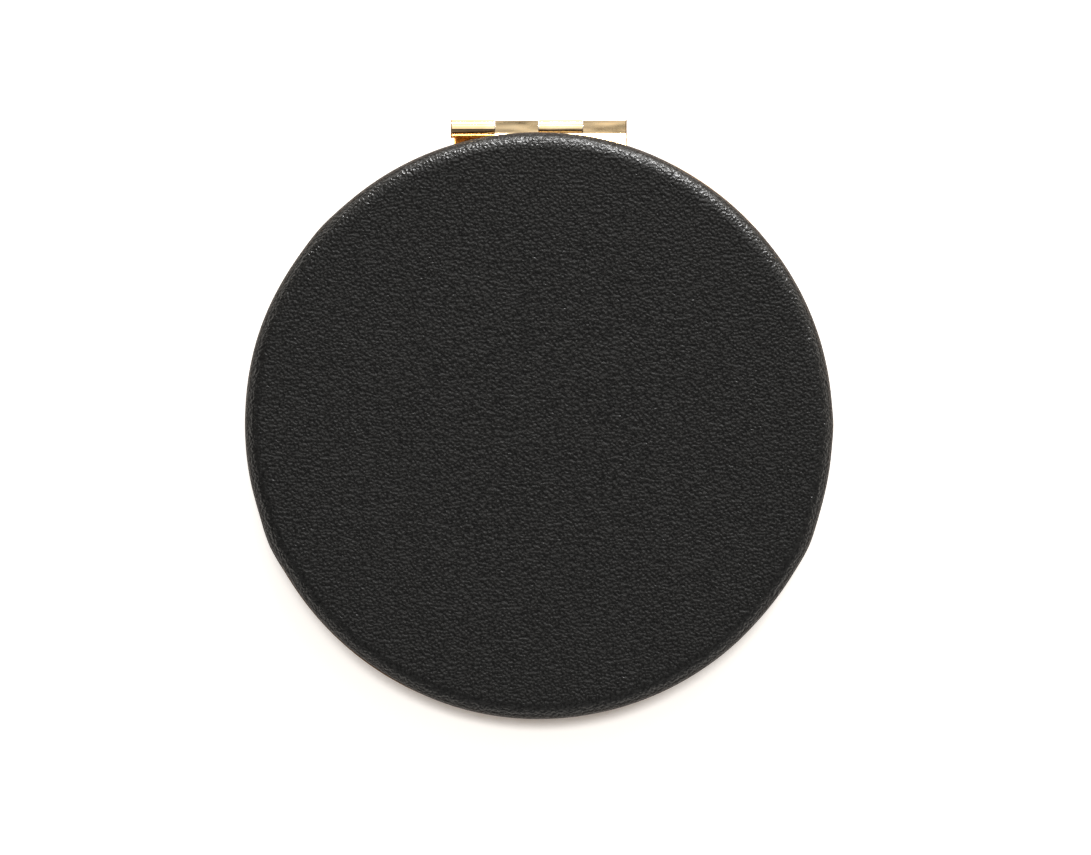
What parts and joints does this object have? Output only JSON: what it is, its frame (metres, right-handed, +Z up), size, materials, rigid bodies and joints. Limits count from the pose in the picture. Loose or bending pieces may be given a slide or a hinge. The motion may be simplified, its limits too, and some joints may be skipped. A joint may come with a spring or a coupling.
{
  "type": "compact mirror",
  "caption": "Round folding pocket mirror in gold metal trays with padded black leather covers and a knuckle hinge; the lid swings open to show a plain and a magnifying glass.",
  "frame": {"origin": "middle of the base's round back cover, on the surface where the shut mirror lies", "axes": "+Z up from the base to the lid, +Y from the middle to the hinge, +X to the right along the hinge pin"},
  "size_m": [0.07, 0.0715, 0.0107],
  "materials": {
    "black_leather": "satin",
    "pad_foam": "matte",
    "grey_board": "matte",
    "adhesive_film": "gloss",
    "gold_brass": "polished",
    "silvered_glass": "polished",
    "foam_tape": "matte",
    "nickel_plate": "polished",
    "pin_steel": "satin"
  },
  "bodies": {
    "base": {"base_leather_cover": "black_leather", "base_foam_pad": "pad_foam", "base_stiffener_board": "grey_board", "base_cover_adhesive": "adhesive_film", "base_tray": "gold_brass", "base_hinge_leaf": "gold_brass", "base_hinge_rivets": "gold_brass", "base_mirror": "silvered_glass", "base_mirror_tape": "foam_tape", "base_bezel_ring": "gold_brass", "base_magnet": "nickel_plate", "hinge_pin": "pin_steel"},
    "lid": {"lid_leather_cover": "black_leather", "lid_foam_pad": "pad_foam", "lid_stiffener_board": "grey_board", "lid_cover_adhesive": "adhesive_film", "lid_tray": "gold_brass", "lid_hinge_leaf": "gold_brass", "lid_hinge_rivets": "gold_brass", "lid_mirror": "silvered_glass", "lid_mirror_tape": "foam_tape", "lid_bezel_ring": "gold_brass", "lid_magnet": "nickel_plate"}
  },
  "joints": [
    {"name": "lid_hinge", "type": "hinge", "parent": "base", "child": "lid", "pos_m": [0, 0.0354, 0.00535], "axis": [-1, 0, 0], "range_deg": [0, 180]}
  ]
}
